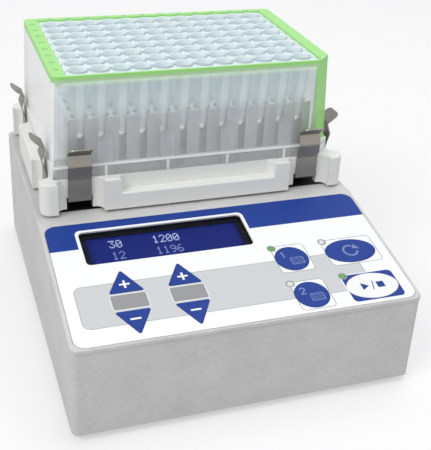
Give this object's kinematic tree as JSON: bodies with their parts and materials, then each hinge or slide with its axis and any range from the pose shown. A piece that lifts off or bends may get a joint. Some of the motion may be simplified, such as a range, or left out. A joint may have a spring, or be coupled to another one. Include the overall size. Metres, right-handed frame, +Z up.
{
  "type": "microplate shaker",
  "caption": "Low bench casing with a sloped key panel and display; a white tray with spring clips orbits above its deck and carries a deep-well plate.",
  "frame": {"origin": "on the table under the middle of the casing", "axes": "+Z up, +X to the right and -Y towards the user, who faces the key panel"},
  "size_m": [0.142, 0.171, 0.1148],
  "materials": {
    "casing": "finely textured light grey moulding",
    "base": "grey painted sheet",
    "rubber": "black rubber",
    "steel": "plain machined steel",
    "overlay": "printed polyester film",
    "window": "clear acrylic",
    "display": "blue character display",
    "black": "black moulding",
    "board": "green circuit board",
    "light": "green light pipe",
    "brass": "turned brass",
    "ribbon": "grey ribbon cable",
    "blue_key": "blue key",
    "white_key": "white key",
    "aluminium": "milled aluminium",
    "winding": "copper winding",
    "iron": "laminated iron and magnets",
    "tray": "white moulding",
    "spring_steel": "rolled spring steel",
    "adapter": "satin aluminium",
    "clear_plate": "milky clear polypropylene",
    "border": "pale green polypropylene"
  },
  "bodies": {
    "housing": {"top_cover": "casing", "lower_housing": "casing", "base_plate": "base", "rubber_feet": "rubber", "corner_screws": "steel", "control_overlay": "overlay", "display_window": "window", "display_frame": "black", "display_glass": "display", "display_board": "board", "keypad_board": "board", "key_switches": "black", "status_lights": "light", "board_screws": "steel", "main_board": "board", "board_standoffs": "brass", "board_parts": "black", "ribbon_cable": "ribbon", "power_inlet": "black", "rocker_frame": "black", "data_port": "steel", "port_studs": "steel", "frame_pillars": "aluminium", "frame_screws": "steel", "drive_frame": "aluminium", "motor_can": "steel", "motor_stator": "winding", "drive_bearings": "steel"},
    "rocker": {"power_rocker": "black"},
    "time_up_press": {"time_up_key": "blue_key"},
    "time_down_press": {"time_down_key": "blue_key"},
    "mix_up_press": {"mix_up_key": "blue_key"},
    "mix_down_press": {"mix_down_key": "blue_key"},
    "preset_1_press": {"preset_1_key": "blue_key"},
    "preset_2_press": {"preset_2_key": "blue_key"},
    "short_mix_press": {"short_mix_key": "blue_key"},
    "start_stop_press": {"start_stop_key": "white_key"},
    "drive": {"eccentric_shaft": "steel", "counterweight": "brass", "motor_rotor": "iron"},
    "crank_rear": {"idler_rear": "steel"},
    "crank_left": {"idler_left": "steel"},
    "crank_right": {"idler_right": "steel"},
    "tray": {"carrier_plate": "aluminium", "carrier_bearings": "steel", "carrier_posts": "aluminium", "tray_screws": "steel", "shaking_tray": "tray", "clip_screws": "steel", "adapter_block": "adapter"},
    "spring_front_left": {"clip_front_left": "spring_steel"},
    "spring_front_right": {"clip_front_right": "spring_steel"},
    "spring_right_front": {"clip_right_front": "spring_steel"},
    "spring_right_rear": {"clip_right_rear": "spring_steel"},
    "spring_rear_right": {"clip_rear_right": "spring_steel"},
    "spring_rear_left": {"clip_rear_left": "spring_steel"},
    "spring_left_rear": {"clip_left_rear": "spring_steel"},
    "spring_left_front": {"clip_left_front": "spring_steel"},
    "plate": {"deepwell_plate": "clear_plate", "plate_border": "border"}
  },
  "joints": [
    {"name": "rocker_tilt", "type": "hinge", "parent": "housing", "child": "rocker", "pos_m": [-0.02, 0.0811, 0.023], "axis": [1, 0, 0], "range_deg": [-16, 0]},
    {"name": "time_up_travel", "type": "slide", "parent": "housing", "child": "time_up_press", "axis": [0, 0.1812, -0.9834], "range_m": [0, 0.0005], "stiffness_N_per_m": 1000},
    {"name": "time_down_travel", "type": "slide", "parent": "housing", "child": "time_down_press", "axis": [0, 0.1812, -0.9834], "range_m": [0, 0.0005], "stiffness_N_per_m": 1000},
    {"name": "mix_up_travel", "type": "slide", "parent": "housing", "child": "mix_up_press", "axis": [0, 0.1812, -0.9834], "range_m": [0, 0.0005], "stiffness_N_per_m": 1000},
    {"name": "mix_down_travel", "type": "slide", "parent": "housing", "child": "mix_down_press", "axis": [0, 0.1812, -0.9834], "range_m": [0, 0.0005], "stiffness_N_per_m": 1000},
    {"name": "preset_1_travel", "type": "slide", "parent": "housing", "child": "preset_1_press", "axis": [0, 0.1812, -0.9834], "range_m": [0, 0.0005], "stiffness_N_per_m": 1000},
    {"name": "preset_2_travel", "type": "slide", "parent": "housing", "child": "preset_2_press", "axis": [0, 0.1812, -0.9834], "range_m": [0, 0.0005], "stiffness_N_per_m": 1000},
    {"name": "short_mix_travel", "type": "slide", "parent": "housing", "child": "short_mix_press", "axis": [0, 0.1812, -0.9834], "range_m": [0, 0.0005], "stiffness_N_per_m": 1000},
    {"name": "start_stop_travel", "type": "slide", "parent": "housing", "child": "start_stop_press", "axis": [0, 0.1812, -0.9834], "range_m": [0, 0.0005], "stiffness_N_per_m": 1000},
    {"name": "drive_turn", "type": "hinge", "parent": "housing", "child": "drive", "pos_m": [0, 0.036, 0.036], "axis": [0, 0, 1], "continuous": true},
    {"name": "idler_rear_turn", "type": "hinge", "parent": "housing", "child": "crank_rear", "pos_m": [0, 0.064, 0.036], "axis": [0, 0, 1], "continuous": true},
    {"name": "idler_left_turn", "type": "hinge", "parent": "housing", "child": "crank_left", "pos_m": [-0.028, 0.036, 0.036], "axis": [0, 0, 1], "continuous": true},
    {"name": "idler_right_turn", "type": "hinge", "parent": "housing", "child": "crank_right", "pos_m": [0.028, 0.036, 0.036], "axis": [0, 0, 1], "continuous": true},
    {"name": "tray_turn", "type": "hinge", "parent": "drive", "child": "tray", "pos_m": [0, 0.037, 0.044], "axis": [0, 0, 1], "continuous": true},
    {"name": "clip_front_left_flex", "type": "hinge", "parent": "tray", "child": "spring_front_left", "pos_m": [-0.0519, -0.00069, 0.0598], "axis": [1, 0, 0], "range_deg": [0, 8], "stiffness_Nm_per_rad": 0.5},
    {"name": "clip_front_right_flex", "type": "hinge", "parent": "tray", "child": "spring_front_right", "pos_m": [0.0519, -0.00069, 0.0598], "axis": [1, 0, 0], "range_deg": [0, 8], "stiffness_Nm_per_rad": 0.5},
    {"name": "clip_right_front_flex", "type": "hinge", "parent": "tray", "child": "spring_right_front", "pos_m": [0.05883, 0.0068, 0.0598], "axis": [0, 1, 0], "range_deg": [0, 8], "stiffness_Nm_per_rad": 0.5},
    {"name": "clip_right_rear_flex", "type": "hinge", "parent": "tray", "child": "spring_right_rear", "pos_m": [0.05883, 0.0672, 0.0598], "axis": [0, 1, 0], "range_deg": [0, 8], "stiffness_Nm_per_rad": 0.5},
    {"name": "clip_rear_right_flex", "type": "hinge", "parent": "tray", "child": "spring_rear_right", "pos_m": [0.0519, 0.07469, 0.0598], "axis": [-1, 0, 0], "range_deg": [0, 8], "stiffness_Nm_per_rad": 0.5},
    {"name": "clip_rear_left_flex", "type": "hinge", "parent": "tray", "child": "spring_rear_left", "pos_m": [-0.0519, 0.07469, 0.0598], "axis": [-1, 0, 0], "range_deg": [0, 8], "stiffness_Nm_per_rad": 0.5},
    {"name": "clip_left_rear_flex", "type": "hinge", "parent": "tray", "child": "spring_left_rear", "pos_m": [-0.05883, 0.0672, 0.0598], "axis": [0, -1, 0], "range_deg": [0, 8], "stiffness_Nm_per_rad": 0.5},
    {"name": "clip_left_front_flex", "type": "hinge", "parent": "tray", "child": "spring_left_front", "pos_m": [-0.05883, 0.0068, 0.0598], "axis": [0, -1, 0], "range_deg": [0, 8], "stiffness_Nm_per_rad": 0.5},
    {"name": "plate_lift", "type": "slide", "parent": "tray", "child": "plate", "axis": [0, 0, 1], "range_m": [0, 0.06]}
  ],
  "couplings": [
    {"joint": "tray_turn", "follows": "drive_turn", "ratio": -1},
    {"joint": "idler_rear_turn", "follows": "drive_turn", "ratio": 1},
    {"joint": "idler_left_turn", "follows": "drive_turn", "ratio": 1},
    {"joint": "idler_right_turn", "follows": "drive_turn", "ratio": 1}
  ]
}
